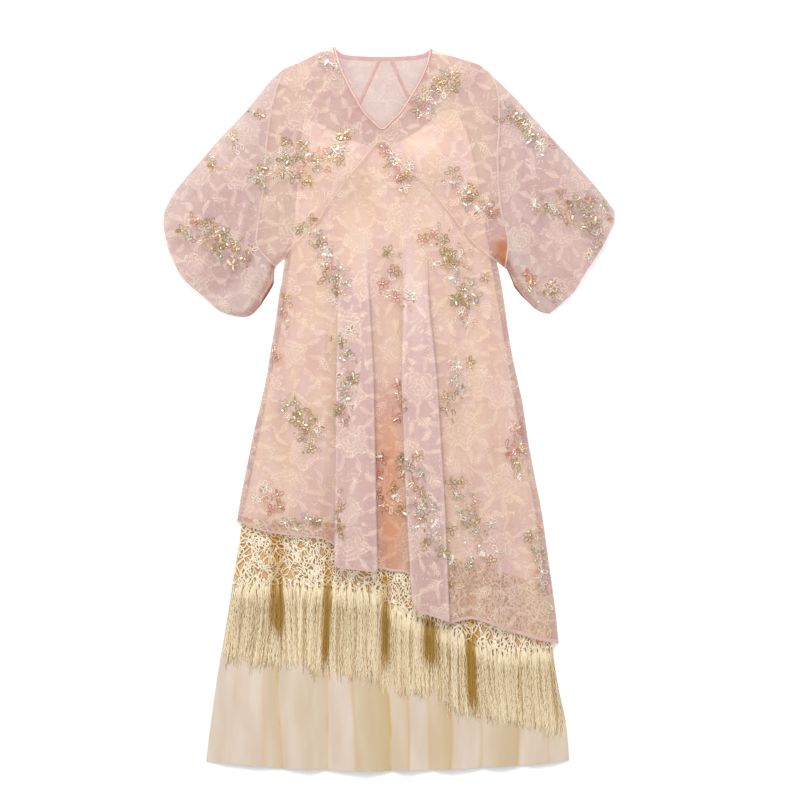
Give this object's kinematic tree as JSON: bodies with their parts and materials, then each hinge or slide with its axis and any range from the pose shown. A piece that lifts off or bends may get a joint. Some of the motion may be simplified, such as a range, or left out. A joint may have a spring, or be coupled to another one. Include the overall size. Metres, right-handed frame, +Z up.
{
  "type": "two-piece dress set laid flat",
  "caption": "Sheer over-dress with a V neck, puffed sleeves and two deep flutes, laid flat over a satin slip with net header, long fringe and underskirt.",
  "frame": {"origin": "middle of the outline, on the surface the dress lies on", "axes": "+Z up out of the surface, +Y towards the neck, +X towards the right of the picture (the wearer's left)"},
  "size_m": [0.8122, 1.3036, 0.0351],
  "materials": {
    "organza": "sheer woven silk with roses",
    "piping": "satin binding",
    "satin": "soft satin",
    "silk_cord": "twisted silk cord and yarn",
    "chiffon": "matt chiffon"
  },
  "bodies": {
    "root": {"overdress_front_panel": "organza", "overdress_back_panel": "organza", "yoke_front_left": "organza", "yoke_front_right": "organza", "yoke_back_left": "organza", "yoke_back_right": "organza", "gusset_left": "organza", "gusset_right": "organza", "sleeve_left": "organza", "sleeve_right": "organza", "neck_piping": "piping", "neck_band_back": "piping", "slip_front": "satin", "slip_back": "satin", "fringe_net": "silk_cord", "fringe": "silk_cord", "underskirt_front": "chiffon", "underskirt_back": "chiffon"}
  },
  "joints": []
}
